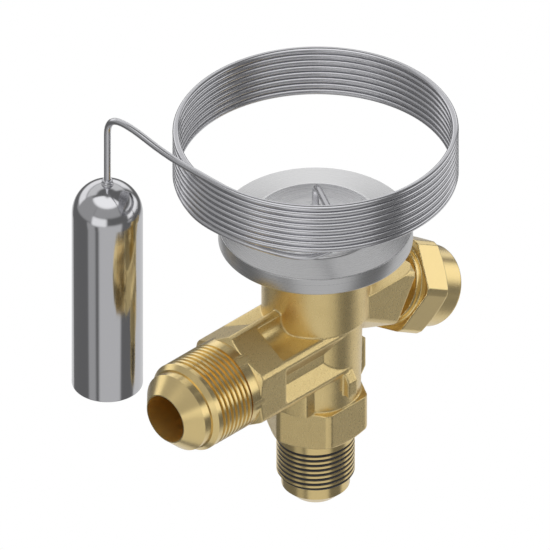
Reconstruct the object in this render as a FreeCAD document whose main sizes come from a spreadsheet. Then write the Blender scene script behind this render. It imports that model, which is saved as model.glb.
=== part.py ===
import FreeCAD, Part
import math
import os
import re
import sys

import Sketcher

# Thermostatic expansion valve with flare connections, a diaphragm element on top, a coiled
# capillary with its sensing bulb, and a superheat setting spindle under a screwed cap.
# The row frame: the origin lies on the vertical axis at the end of the inlet thread, above its
# chamfer, +Z runs up the valve to the element, and the outlet points to -X. Heights named "above the outlet" are
# measured from the crossing of the outlet axis and the vertical axis. Distances named "out" are
# measured along the sloping setting spindle from where its axis meets the vertical axis.

sizes = {
    # inlet flare connection, at the bottom
    "outlet_height": 33.5,
    "inlet_thread_diameter": 15.875,
    "inlet_thread_reach": 11.2,
    "inlet_nose_diameter": 13.9,
    "inlet_nose_length": 2.55,
    "inlet_cone_length": 2.2,
    "inlet_bore_diameter": 9.2,
    "inlet_hex_height": 8.7,
    "thread_end_chamfer": 0.5,
    # hexagons of the forging
    "hex_across_flats": 19.0,
    "hex_corner_diameter": 21.3,
    "hex_end_diameter": 18.9,
    # outlet flare connection
    "outlet_hex_end": 25.2,
    "outlet_grip_length": 7.5,
    "outlet_thread_diameter": 19.05,
    "outlet_thread_end": 37.5,
    "outlet_nose_diameter": 16.66,
    "outlet_nose_length": 2.9,
    "outlet_cone_length": 2.5,
    "outlet_bore_diameter": 10.2,
    "outlet_bore_past_axis": 2.0,
    "arm_web_thickness": 2.2,
    "arm_pocket_round": 3.2,
    "arm_rib_outer": 6.05,
    "arm_rib_inner": 4.3,
    "arm_side_width": 15.4,
    "arm_side_flat": 1.1,
    "arm_skirt_width": 12.7,
    # column and head of the forging
    "column_diameter": 19.0,
    "head_diameter": 21.94,
    "head_bottom": 5.95,
    "head_step": 0.8,
    "head_top": 23.0,
    "cavity_diameter": 16.8,
    "cavity_floor": 6.6,
    "lug_width": 2.5,
    "lug_reach": 10.7,
    "lug_top": 4.4,
    "lug_slope": 2.6,
    "lug_bottom": 10.4,
    "pad_width": 6.0,
    "pad_reach": 11.4,
    "pad_top": 4.4,
    "pad_slope": 1.2,
    # sloping boss and neck for the setting spindle
    "spindle_slope": 30.0,
    "spindle_height": 14.2,
    "boss_start": 3.0,
    "boss_end": 19.2,
    "neck_diameter": 13.8,
    "neck_end": 30.5,
    "chamber_diameter": 10.0,
    "chamber_start": 7.0,
    "keyway_width": 1.6,
    "keyway_depth": 0.8,
    # diaphragm element
    "element_diameter": 39.4,
    "lower_housing_height": 2.4,
    "lower_housing_floor": 0.9,
    "housing_recess_diameter": 31.2,
    "housing_neck_diameter": 18.8,
    "housing_neck_length": 2.0,
    "housing_hole_diameter": 12.0,
    "diaphragm_thickness": 0.15,
    "rim_height": 1.35,
    "rim_round": 0.5,
    "shoulder_rise": 0.55,
    "crown_diameter": 25.6,
    "crown_rise": 1.2,
    "crown_dish": 0.35,
    "crown_wall": 0.8,
    "charge_height": 0.75,
    "ferrule_diameter": 3.9,
    "ferrule_flange_diameter": 5.0,
    "ferrule_height": 2.6,
    # thrust pad, push rod and orifice
    "thrust_pad_diameter": 30.0,
    "thrust_pad_thickness": 0.8,
    "thrust_hub_diameter": 6.8,
    "thrust_hub_length": 3.1,
    "rod_diameter": 2.4,
    "rod_seat_depth": 2.0,
    "rod_collar_diameter": 6.4,
    "rod_collar_thickness": 1.2,
    "rod_collar_height": 10.9,
    "rod_tip_diameter": 1.8,
    "rod_tip_length": 3.2,
    "equaliser_diameter": 1.6,
    "equaliser_offset": 3.6,
    "orifice_shoulder": 7.0,
    "passage_diameter": 7.2,
    "orifice_body_length": 14.95,
    "orifice_wall": 1.5,
    "orifice_plate": 1.95,
    "orifice_diameter": 3.2,
    "seal_groove_drop": 4.0,
    "seal_section": 0.92,
    "cone_diameter": 4.4,
    "cone_height": 1.45,
    "cone_nose_diameter": 1.8,
    "cone_stem_diameter": 2.8,
    "cone_stem_length": 2.5,
    "cone_spring_wire": 0.5,
    "cone_spring_pitch": 1.9,
    "retainer_drop": 10.95,
    "retainer_thickness": 0.95,
    "retainer_hole_diameter": 2.4,
    "strainer_ring_height": 1.95,
    "strainer_length": 11.0,
    "strainer_bar": 0.6,
    "mesh_diameter": 6.4,
    "mesh_thickness": 0.2,
    # setting lever on its bracket
    "pivot_offset": 5.2,
    "pivot_height": 9.6,
    "pin_diameter": 1.6,
    "bracket_floor": 1.2,
    "bracket_edge": 2.6,
    "bracket_ear_gap": 6.4,
    "bracket_ear_thickness": 1.2,
    "bracket_ear_width": 3.0,
    "lever_width": 6.0,
    "lever_fork_gap": 3.6,
    "lever_arm_height": 1.25,
    "lever_pad_diameter": 1.6,
    "lever_pad_rise": 0.5,
    "lever_eye_diameter": 2.6,
    "lever_tab_out": 6.4,
    "lever_tab_thickness": 1.2,
    "lever_tab_low": 2.2,
    "lever_tab_up": 1.8,
    # spring, its seat and the setting spindle
    "plunger_nose_diameter": 3.2,
    "plunger_head_out": 10.0,
    "plunger_head_thickness": 1.4,
    "plunger_spigot": 1.0,
    "spring_wire": 0.9,
    "spring_diameter": 8.7,
    "spring_pitch": 1.8,
    "seat_out": 18.5,
    "seat_thickness": 3.0,
    "spindle_thread_diameter": 4.0,
    "spindle_inner_end": 14.0,
    "spindle_flange_diameter": 9.2,
    "spindle_flange_thickness": 1.3,
    "spindle_stem_diameter": 5.0,
    "spindle_outer_end": 35.4,
    "spindle_slot_width": 1.0,
    "spindle_slot_depth": 1.5,
    "spindle_seal_out": 27.5,
    "spindle_seal_section": 0.84,
    "gland_start": 26.0,
    "gland_end": 30.3,
    # seal cap
    "cap_collar_diameter": 17.6,
    "cap_start": 22.0,
    "cap_hex_start": 23.7,
    "cap_hex_end": 31.0,
    "cap_end": 37.8,
    "cap_corner_diameter": 21.2,
    "cap_end_diameter": 16.8,
    "cap_end_chamfer": 0.5,
    "cap_hex_turn": 17.0,
    "cap_hollow_diameter": 6.4,
    "cap_top_thickness": 1.5,
    "gasket_thickness": 0.6,
    # capillary coil and bulb
    "capillary_diameter": 1.42,
    "coil_diameter": 56.5,
    "coil_height": 38.9,
    "coil_pitch": 1.45,
    "bulb_across": 28.2,
    "bulb_back": 31.3,
    "bulb_bottom": 13.6,
    "bulb_length": 48.8,
    "bulb_diameter": 14.4,
    "bulb_edge_round": 1.0,
    "bulb_collar_diameter": 2.2,
    "bulb_collar_height": 1.2,
    # running and fitting clearances
    "fit_gap": 0.1,
    "touch_gap": 0.05,
    "pin_gap": 0.05,
    "braze_gap": 0.02,
}

coil_turns = 8
doc = FreeCAD.newDocument("expansion_valve")
sheet = doc.addObject("Spreadsheet::Sheet", "Sizes")
for row, (alias, number) in enumerate(sizes.items(), start=1):
    sheet.set(f"A{row}", alias)
    sheet.set(f"B{row}", str(number))
    sheet.setAlias(f"B{row}", alias)
doc.recompute()

# Each finished piece, by the name of its file.
pieces = {}


def bound(text):
    """An expression on the sheet, written with the plain names of the sizes."""
    return re.sub(r"\b[a-z]+_[a-z_]+\b", r"Sizes.\g<0>", text)


def value(text):
    result = sheet.evalExpression(bound(text))
    return float(getattr(result, "Value", result))


def finish(name, solid):
    solid.Label = name
    pieces[name] = solid


# Placing pieces: upright ones keep the row's Z, the outlet's run along -X, and those of the
# setting spindle lie on its sloping axis.
upright = FreeCAD.Rotation()
along_outlet = FreeCAD.Rotation(FreeCAD.Vector(0, 1, 0), -90)
across = FreeCAD.Rotation(FreeCAD.Vector(1, 0, 0), 90)
along_spindle = FreeCAD.Rotation(FreeCAD.Vector(0, 1, 0), 90 + value("spindle_slope"))
spindle_origin = FreeCAD.Vector(0, 0, value("outlet_height + spindle_height"))


def put(solid, x="0", y="0", z="0", turn=upright):
    solid.Placement = FreeCAD.Placement(FreeCAD.Vector(value(x), value(y), value(z)), turn)
    solid.setExpression("Placement.Base.x", bound(x))
    solid.setExpression("Placement.Base.y", bound(y))
    solid.setExpression("Placement.Base.z", bound(z))
    return solid


def put_on_spindle(solid, out="0", up="0", side="0"):
    """Move a piece to the sloping axis: out along it, up square to it and to the side."""
    local = FreeCAD.Vector(-value(up), value(side), value(out))
    turned_local = along_spindle.multVec(local)
    solid.Placement = FreeCAD.Placement(spindle_origin + turned_local, along_spindle)
    return solid


def cylinder(name, diameter, length):
    solid = doc.addObject("Part::Cylinder", name)
    solid.setExpression("Radius", bound(f"({diameter}) / 2"))
    solid.setExpression("Height", bound(length))
    return solid


def box(name, length, width, height):
    solid = doc.addObject("Part::Box", name)
    solid.setExpression("Length", bound(length))
    solid.setExpression("Width", bound(width))
    solid.setExpression("Height", bound(height))
    return solid


def hexagon(name, across_flats, length):
    solid = doc.addObject("Part::Prism", name)
    solid.Polygon = 6
    solid.setExpression("Circumradius", bound(f"({across_flats}) / sqrt(3)"))
    solid.setExpression("Height", bound(length))
    return solid


def fused(name, *solids):
    solid = doc.addObject("Part::MultiFuse", name)
    solid.Shapes = list(solids)
    solid.Refine = True
    return solid


def shared(name, *solids):
    solid = doc.addObject("Part::MultiCommon", name)
    solid.Shapes = list(solids)
    return solid


def cut(name, base, tool):
    solid = doc.addObject("Part::Cut", name)
    solid.Base = base
    solid.Tool = tool
    solid.Refine = True
    return solid


def profile(body, name, outline):
    """A closed sketch of straight edges in the X-Z plane, each corner bound to the sheet."""
    sketch = body.newObject("Sketcher::SketchObject", name)
    plane = next(f for f in body.Origin.OriginFeatures if f.Role == "XZ_Plane")
    sketch.AttachmentSupport = (plane, [""])
    sketch.MapMode = "FlatFace"
    corners = [FreeCAD.Vector(value(x), value(z), 0) for x, z in outline]
    count = len(corners)
    for i in range(count):
        sketch.addGeometry(Part.LineSegment(corners[i], corners[(i + 1) % count]), False)
    for i in range(count):
        sketch.addConstraint(Sketcher.Constraint("Coincident", i, 2, (i + 1) % count, 1))
    for i, corner in enumerate(outline):
        for kind, text in zip(("DistanceX", "DistanceY"), corner):
            number = sketch.addConstraint(Sketcher.Constraint(kind, -1, 1, i, 1, value(text)))
            sketch.setExpression(f"Constraints[{number}]", bound(text))
    return sketch


def turned(name, outline):
    """A piece turned about its own Z axis from (radius, height) corners."""
    body = doc.addObject("PartDesign::Body", name)
    sketch = profile(body, name + "_profile", outline)
    revolution = body.newObject("PartDesign::Revolution", name + "_turned")
    revolution.Profile = sketch
    revolution.ReferenceAxis = (sketch, ["V_Axis"])
    revolution.Angle = 360
    return body


def ring_seal(name, inner_radius, section):
    """A rubber ring with a six-sided section, standing on its own X-Y plane."""
    return turned(name, [
        (f"{inner_radius} + 0.25 * {section}", "0"),
        (f"{inner_radius} + 0.75 * {section}", "0"),
        (f"{inner_radius} + {section}", f"{section} / 2"),
        (f"{inner_radius} + 0.75 * {section}", section),
        (f"{inner_radius} + 0.25 * {section}", section),
        (inner_radius, f"{section} / 2"),
    ])


def spring(name, diameter, wire, pitch, length):
    """A square-wire compression spring standing on its own X-Y plane."""
    body = doc.addObject("PartDesign::Body", name)
    outside = f"({diameter}) / 2"
    inside = f"({diameter}) / 2 - {wire}"
    corners = [(inside, "0"), (outside, "0"), (outside, wire), (inside, wire)]
    sketch = profile(body, name + "_wire", corners)
    coil = body.newObject("PartDesign::AdditiveHelix", name + "_coil")
    coil.Profile = sketch
    coil.ReferenceAxis = (sketch, ["V_Axis"])
    coil.Mode = 0
    coil.setExpression("Pitch", bound(pitch))
    coil.setExpression("Height", bound(f"{length} - {wire}"))
    return body


def valve_body():
    """The forged brass body with both flare ends, the head, the boss and all its bores."""
    axis = "outlet_height"
    inlet_radius = "inlet_thread_diameter / 2"
    inlet_nose = "-thread_end_chamfer - inlet_nose_length"
    core = turned("body_core", [
        ("0", f"{inlet_nose} - inlet_cone_length"),
        ("inlet_nose_diameter / 2 - inlet_cone_length", f"{inlet_nose} - inlet_cone_length"),
        ("inlet_nose_diameter / 2", inlet_nose),
        ("inlet_nose_diameter / 2", "-thread_end_chamfer"),
        (f"{inlet_radius} - thread_end_chamfer", "-thread_end_chamfer"),
        (inlet_radius, "0"),
        (inlet_radius, "inlet_thread_reach"),
        ("column_diameter / 2", "inlet_thread_reach"),
        ("column_diameter / 2", f"{axis} + head_bottom - head_step"),
        ("head_diameter / 2", f"{axis} + head_bottom"),
        ("head_diameter / 2", f"{axis} + head_top"),
        ("0", f"{axis} + head_top"),
    ])
    # The hexagons are turned along their corners and, at 30 degrees, at their thread ends.
    corner = "0.58 * (hex_corner_diameter - hex_end_diameter) / 2"
    inlet_bar = hexagon("inlet_bar", "hex_across_flats", "inlet_hex_height")
    put(inlet_bar, z="inlet_thread_reach")
    inlet_round = turned("inlet_round", [
        ("0", "0"),
        ("hex_end_diameter / 2", "0"),
        ("hex_corner_diameter / 2", corner),
        ("hex_corner_diameter / 2", "inlet_hex_height"),
        ("0", "inlet_hex_height"),
    ])
    put(inlet_round, z="inlet_thread_reach")
    inlet_hexagon = shared("inlet_hexagon", inlet_bar, inlet_round)

    grip_start = "outlet_hex_end - outlet_grip_length"
    grip_bar = hexagon("grip_bar", "hex_across_flats", "outlet_grip_length")
    put(grip_bar, x=f"-({grip_start})", z=axis, turn=along_outlet)
    grip_round = turned("grip_round", [
        ("0", "0"),
        ("hex_corner_diameter / 2", "0"),
        ("hex_corner_diameter / 2", f"outlet_grip_length - {corner}"),
        ("hex_end_diameter / 2", "outlet_grip_length"),
        ("0", "outlet_grip_length"),
    ])
    put(grip_round, x=f"-({grip_start})", z=axis, turn=along_outlet)
    grip = shared("outlet_grip", grip_bar, grip_round)

    # Between grip and column the forging has deep pockets above and below the side corners,
    # rounded up to a web, and a shallow one with sloping sides in each side flat.
    arm_bar = hexagon("arm_bar", "hex_across_flats", grip_start)
    put(arm_bar, z=axis, turn=along_outlet)
    arm_round = cylinder("arm_round", "hex_corner_diameter", grip_start)
    put(arm_round, z=axis, turn=along_outlet)
    web = "arm_web_thickness / 2"
    pocket = [(web, "hex_corner_diameter / 2 + 1"), (web, "arm_rib_outer + arm_pocket_round")]
    for aside, above in ((0.076, 0.617), (0.293, 0.293), (0.617, 0.076), (1, 0)):
        pocket.append((f"{web} + {aside} * arm_pocket_round",
                       f"arm_rib_outer + {above} * arm_pocket_round"))
    pocket += [
        ("hex_corner_diameter / 2", "arm_rib_outer"),
        ("hex_corner_diameter / 2", "arm_rib_inner"),
        ("hex_across_flats / 2", "arm_rib_inner"),
        ("arm_side_width / 2", "arm_side_flat"),
    ]
    outline = pocket + [(y, f"-({z})") for y, z in reversed(pocket)]
    outline += [(f"-({y})", f"-({z})") for y, z in pocket]
    outline += [(f"-({y})", z) for y, z in reversed(pocket)]
    arm_section = doc.addObject("PartDesign::Body", "arm_section")
    sketch = profile(arm_section, "arm_section_profile", outline)
    extent = arm_section.newObject("PartDesign::Pad", "arm_section_pad")
    extent.Profile = sketch
    extent.Midplane = True
    extent.setExpression("Length", bound(grip_start))
    put(arm_section, x=f"-({grip_start}) / 2", z=axis,
        turn=FreeCAD.Rotation(FreeCAD.Vector(0, 0, 1), 90))
    arm = shared("outlet_arm", arm_bar, arm_round, arm_section)

    # Under the arm the column swells to the head's diameter, down to the inlet hexagon.
    hex_top = "inlet_thread_reach + inlet_hex_height"
    skirt_height = f"{axis} - arm_rib_outer - ({hex_top})"
    skirt_round = cylinder("skirt_round", "head_diameter", skirt_height)
    put(skirt_round, z=hex_top)
    skirt_side = box("skirt_side", "head_diameter / 2", "arm_skirt_width", skirt_height)
    put(skirt_side, x="-head_diameter / 2", y="-arm_skirt_width / 2", z=hex_top)
    skirt = shared("arm_skirt", skirt_round, skirt_side)

    outlet_radius = "outlet_thread_diameter / 2"
    nose_end = "outlet_thread_end + outlet_nose_length"
    outlet_end = turned("outlet_end", [
        ("0", "outlet_hex_end"),
        (outlet_radius, "outlet_hex_end"),
        (outlet_radius, "outlet_thread_end - thread_end_chamfer"),
        (f"{outlet_radius} - thread_end_chamfer", "outlet_thread_end"),
        ("outlet_nose_diameter / 2", "outlet_thread_end"),
        ("outlet_nose_diameter / 2", nose_end),
        ("outlet_nose_diameter / 2 - outlet_cone_length", f"{nose_end} + outlet_cone_length"),
        ("0", f"{nose_end} + outlet_cone_length"),
    ])
    put(outlet_end, z=axis, turn=along_outlet)

    boss_bar = hexagon("boss_bar", "hex_across_flats", "boss_end - boss_start")
    put_on_spindle(boss_bar, out="boss_start")
    boss_round = cylinder("boss_round", "hex_corner_diameter", "boss_end - boss_start")
    put_on_spindle(boss_round, out="boss_start")
    # The boss is level on top, with the round neck rising out of it, to clear the element.
    boss_level = box("boss_level", "2 * boss_end", "2 * hex_corner_diameter", "2 * boss_end")
    put(boss_level, y="-hex_corner_diameter", z=f"{axis} + hex_corner_diameter / 2 - 2 * boss_end")
    boss = shared("spindle_boss", boss_bar, boss_round, boss_level)
    neck = cylinder("spindle_neck", "neck_diameter", "neck_end - boss_start")
    put_on_spindle(neck, out="boss_start")

    solid = fused("body_outside", core, inlet_hexagon, grip, arm, skirt, outlet_end, boss, neck,
                  *side_lugs())
    return cut("valve_body", solid, body_bores())


def side_lugs():
    """Wedge lugs on both sides of the column and the pad under the boss."""
    axis = "outlet_height"
    slope = "lug_reach - column_diameter / 2 + 0.5"
    lugs = []
    for side, turn in (("front", 0), ("rear", 180)):
        lug = doc.addObject("PartDesign::Body", side + "_lug")
        sketch = profile(lug, side + "_lug_profile", [
            ("0", "-lug_bottom"),
            ("lug_reach", "-lug_bottom"),
            ("lug_reach", "-lug_top - lug_slope"),
            (f"lug_reach - ({slope})", "-lug_top"),
            ("0", "-lug_top"),
        ])
        pad = lug.newObject("PartDesign::Pad", side + "_lug_pad")
        pad.Profile = sketch
        pad.Midplane = True
        pad.setExpression("Length", bound("lug_width"))
        put(lug, z=axis, turn=FreeCAD.Rotation(FreeCAD.Vector(0, 0, 1), turn - 90))
        lugs.append(lug)
    stand = doc.addObject("PartDesign::Body", "boss_pad")
    sketch = profile(stand, "boss_pad_profile", [
        ("0", "inlet_thread_reach + inlet_hex_height - outlet_height"),
        ("pad_reach - pad_slope", "inlet_thread_reach + inlet_hex_height - outlet_height"),
        ("pad_reach", "inlet_thread_reach + inlet_hex_height - outlet_height + pad_slope"),
        ("pad_reach", "-pad_top - pad_slope"),
        ("pad_reach - pad_slope", "-pad_top"),
        ("0", "-pad_top"),
    ])
    pad = stand.newObject("PartDesign::Pad", "boss_pad_pad")
    pad.Profile = sketch
    pad.Midplane = True
    pad.setExpression("Length", bound("pad_width"))
    put(stand, z=axis)
    return [*lugs, stand]


def body_bores():
    """Every hollow of the forging, as one tool."""
    axis = "outlet_height"
    top = f"{axis} + head_top"
    tip = "thread_end_chamfer + inlet_nose_length + inlet_cone_length"
    cavity = cylinder("cavity", "cavity_diameter", "head_top - cavity_floor")
    put(cavity, z=f"{axis} + cavity_floor")
    socket_depth = "housing_neck_length + touch_gap"
    socket = cylinder("socket", "housing_neck_diameter + 2 * touch_gap", socket_depth)
    put(socket, z=f"{top} - ({socket_depth})")
    rod_hole = cylinder("rod_hole", "rod_diameter + 2 * fit_gap", "cavity_floor")
    put(rod_hole, z=axis)
    equaliser = cylinder("equaliser", "equaliser_diameter", "cavity_floor")
    put(equaliser, y="equaliser_offset", z=axis)
    outlet_reach = "outlet_thread_end + outlet_nose_length + outlet_cone_length"
    outlet_bore = cylinder("outlet_bore", "outlet_bore_diameter",
                           f"{outlet_reach} + outlet_bore_past_axis")
    put(outlet_bore, x="outlet_bore_past_axis", z=axis, turn=along_outlet)
    passage = cylinder("passage", "passage_diameter", "orifice_shoulder")
    put(passage, z=f"{axis} - orifice_shoulder")
    inlet_bore = cylinder("inlet_bore", "inlet_bore_diameter",
                          f"{axis} - orifice_shoulder + {tip}")
    put(inlet_bore, z=f"-({tip})")
    chamber = cylinder("spring_chamber", "chamber_diameter", "neck_end - chamber_start")
    put_on_spindle(chamber, out="chamber_start")
    keyway_reach = "chamber_diameter / 2 + keyway_depth"
    keyway = box("keyway", keyway_reach, "keyway_width", "neck_end - seat_out + seat_thickness")
    put_on_spindle(keyway, out="seat_out - seat_thickness", side="-keyway_width / 2")
    return fused("body_hollows", cavity, socket, rod_hole, equaliser, outlet_bore, passage,
                 inlet_bore, chamber, keyway)


def element():
    """The welded diaphragm element: two housings, the diaphragm between them and the ferrule."""
    base = "outlet_height + head_top"
    seam = f"{base} + lower_housing_height"
    lower = turned("element_lower_housing", [
        ("housing_hole_diameter / 2", f"{base} - housing_neck_length"),
        ("housing_neck_diameter / 2", f"{base} - housing_neck_length"),
        ("housing_neck_diameter / 2", base),
        ("element_diameter / 2", base),
        ("element_diameter / 2", seam),
        ("housing_recess_diameter / 2", seam),
        ("housing_recess_diameter / 2", f"{base} + lower_housing_floor"),
        ("housing_hole_diameter / 2", f"{base} + lower_housing_floor"),
    ])
    finish("element_lower_housing", lower)
    diaphragm = cylinder("diaphragm", "element_diameter", "diaphragm_thickness")
    put(diaphragm, z=seam)
    finish("diaphragm", diaphragm)

    start = f"{seam} + diaphragm_thickness"
    rim = f"{start} + rim_height"
    crown = f"{rim} + crown_rise"
    middle = f"{crown} - crown_dish"
    upper = turned("element_upper_housing", [
        ("element_diameter / 2", start),
        ("element_diameter / 2", f"{rim} - rim_round"),
        ("element_diameter / 2 - 0.3 * rim_round", f"{rim} - 0.3 * rim_round"),
        ("element_diameter / 2 - rim_round", rim),
        ("crown_diameter / 2 + 0.1", f"{rim} + shoulder_rise"),
        ("crown_diameter / 2", crown),
        ("crown_diameter / 2 - 0.6", crown),
        ("crown_diameter / 2 - 1.4", middle),
        ("ferrule_diameter / 2 + braze_gap", middle),
        ("ferrule_diameter / 2 + braze_gap", f"{middle} - crown_wall"),
        ("crown_diameter / 2 - 1.2", f"{middle} - crown_wall"),
        ("housing_recess_diameter / 2", f"{start} + charge_height"),
        ("housing_recess_diameter / 2", start),
    ])
    finish("element_upper_housing", upper)

    hole = "capillary_diameter / 2 + braze_gap"
    ferrule = turned("element_ferrule", [
        (hole, f"{middle} - 1"),
        ("ferrule_diameter / 2", f"{middle} - 1"),
        ("ferrule_diameter / 2", f"{middle} + braze_gap"),
        ("ferrule_flange_diameter / 2", f"{middle} + braze_gap"),
        ("capillary_diameter / 2 + 0.45", f"{middle} + ferrule_height"),
        (hole, f"{middle} + ferrule_height"),
    ])
    finish("element_ferrule", ferrule)


def valve_stem():
    """Thrust pad, push rod and cone, which move down together to open the orifice."""
    axis = "outlet_height"
    pad_top = f"{axis} + head_top + lower_housing_height - touch_gap"
    pad_under = f"{pad_top} - thrust_pad_thickness"
    hub_end = f"{pad_under} - thrust_hub_length"
    seat_hole = "rod_diameter / 2 + touch_gap"
    pad = turned("thrust_pad", [
        ("0", f"{hub_end} + rod_seat_depth"),
        (seat_hole, f"{hub_end} + rod_seat_depth"),
        (seat_hole, hub_end),
        ("thrust_hub_diameter / 2", hub_end),
        ("thrust_hub_diameter / 2", pad_under),
        ("thrust_pad_diameter / 2", pad_under),
        ("thrust_pad_diameter / 2", pad_top),
        ("0", pad_top),
    ])
    finish("thrust_pad", pad)

    nose = f"{axis} - orifice_shoulder - touch_gap - orifice_plate + 0.25"
    rod_foot = f"{nose} + touch_gap"
    collar = f"{axis} + rod_collar_height"
    rod = turned("push_rod", [
        ("0", rod_foot),
        ("rod_tip_diameter / 2", rod_foot),
        ("rod_tip_diameter / 2", f"{rod_foot} + rod_tip_length"),
        ("rod_diameter / 2", f"{rod_foot} + rod_tip_length + 0.3"),
        ("rod_diameter / 2", collar),
        ("rod_collar_diameter / 2", collar),
        ("rod_collar_diameter / 2", f"{collar} + rod_collar_thickness"),
        ("rod_diameter / 2", f"{collar} + rod_collar_thickness"),
        ("rod_diameter / 2", f"{hub_end} + rod_seat_depth - touch_gap"),
        ("0", f"{hub_end} + rod_seat_depth - touch_gap"),
    ])
    finish("push_rod", rod)

    base = f"{nose} - cone_height"
    skirt = f"{base} - 0.8"
    cone = turned("valve_cone", [
        ("0", nose),
        ("cone_nose_diameter / 2", nose),
        ("orifice_diameter / 2 - fit_gap", f"{nose} - 0.3"),
        ("cone_diameter / 2", base),
        ("cone_diameter / 2", skirt),
        ("cone_stem_diameter / 2", skirt),
        ("cone_stem_diameter / 2", f"{skirt} - cone_stem_length"),
        ("0", f"{skirt} - cone_stem_length"),
    ])
    finish("valve_cone", cone)
    return skirt


def orifice_assembly(cone_skirt):
    """The interchangeable cartridge in the inlet: orifice, seal, cone spring and strainer."""
    top = "outlet_height - orifice_shoulder - touch_gap"
    foot = f"{top} - orifice_body_length"
    outer = "inlet_bore_diameter / 2 - fit_gap"
    chamber = f"{outer} - orifice_wall"
    groove = "inlet_bore_diameter / 2 - 0.03 - seal_section"
    retainer_top = f"{top} - retainer_drop"
    body = turned("orifice_body", [
        ("orifice_diameter / 2", top),
        (outer, top),
        (outer, f"{top} - seal_groove_drop"),
        (groove, f"{top} - seal_groove_drop"),
        (groove, f"{top} - seal_groove_drop - seal_section - 0.1"),
        (outer, f"{top} - seal_groove_drop - seal_section - 0.1"),
        (outer, foot),
        (f"{chamber} + 0.6", foot),
        (f"{chamber} + 0.6", retainer_top),
        (chamber, retainer_top),
        (chamber, f"{top} - orifice_plate"),
        ("orifice_diameter / 2", f"{top} - orifice_plate"),
    ])
    finish("orifice_body", body)
    seal = ring_seal("orifice_seal", groove, "seal_section")
    put(seal, z=f"{top} - seal_groove_drop - seal_section - touch_gap")
    finish("orifice_seal", seal)

    retainer = turned("cone_spring_retainer", [
        ("retainer_hole_diameter / 2", f"{retainer_top} - touch_gap - retainer_thickness"),
        (f"{chamber} + 0.6 - touch_gap", f"{retainer_top} - touch_gap - retainer_thickness"),
        (f"{chamber} + 0.6 - touch_gap", f"{retainer_top} - touch_gap"),
        ("retainer_hole_diameter / 2", f"{retainer_top} - touch_gap"),
    ])
    finish("cone_spring_retainer", retainer)
    spring_foot = f"{retainer_top} - touch_gap + touch_gap"
    cone_spring = spring("cone_spring", "cone_diameter - 0.2", "cone_spring_wire", "cone_spring_pitch",
                         f"({cone_skirt}) - touch_gap - ({spring_foot})")
    put(cone_spring, z=spring_foot)
    finish("cone_spring", cone_spring)

    ring_top = f"{foot} - touch_gap"
    ring_foot = f"{ring_top} - strainer_ring_height"
    strainer_foot = f"{ring_top} - strainer_length"
    bar_outer = "mesh_diameter / 2 + strainer_bar"
    ring = turned("strainer_ring", [
        ("mesh_diameter / 2 - mesh_thickness - touch_gap", ring_foot),
        (outer, ring_foot),
        (outer, ring_top),
        ("mesh_diameter / 2 - mesh_thickness - touch_gap", ring_top),
    ])
    end_disc = cylinder("strainer_end", f"2 * ({bar_outer})", "strainer_bar")
    put(end_disc, z=strainer_foot)
    bars = []
    for i in range(4):
        bar = box(f"strainer_bar_{i}", "strainer_bar - touch_gap", "strainer_bar",
                  f"{ring_foot} - ({strainer_foot})")
        place = FreeCAD.Rotation(FreeCAD.Vector(0, 0, 1), 90 * i)
        start = place.multVec(FreeCAD.Vector(value("mesh_diameter / 2 + touch_gap"),
                                             value("-strainer_bar / 2"), value(strainer_foot)))
        bar.Placement = FreeCAD.Placement(start, place)
        bars.append(bar)
    finish("strainer_frame", fused("strainer_frame", ring, end_disc, *bars))
    mesh = turned("strainer_mesh", [
        ("mesh_diameter / 2 - mesh_thickness", f"{strainer_foot} + strainer_bar + touch_gap"),
        ("mesh_diameter / 2", f"{strainer_foot} + strainer_bar + touch_gap"),
        ("mesh_diameter / 2", f"{ring_foot} - touch_gap"),
        ("mesh_diameter / 2 - mesh_thickness", f"{ring_foot} - touch_gap"),
    ])
    finish("strainer_mesh", mesh)


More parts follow.
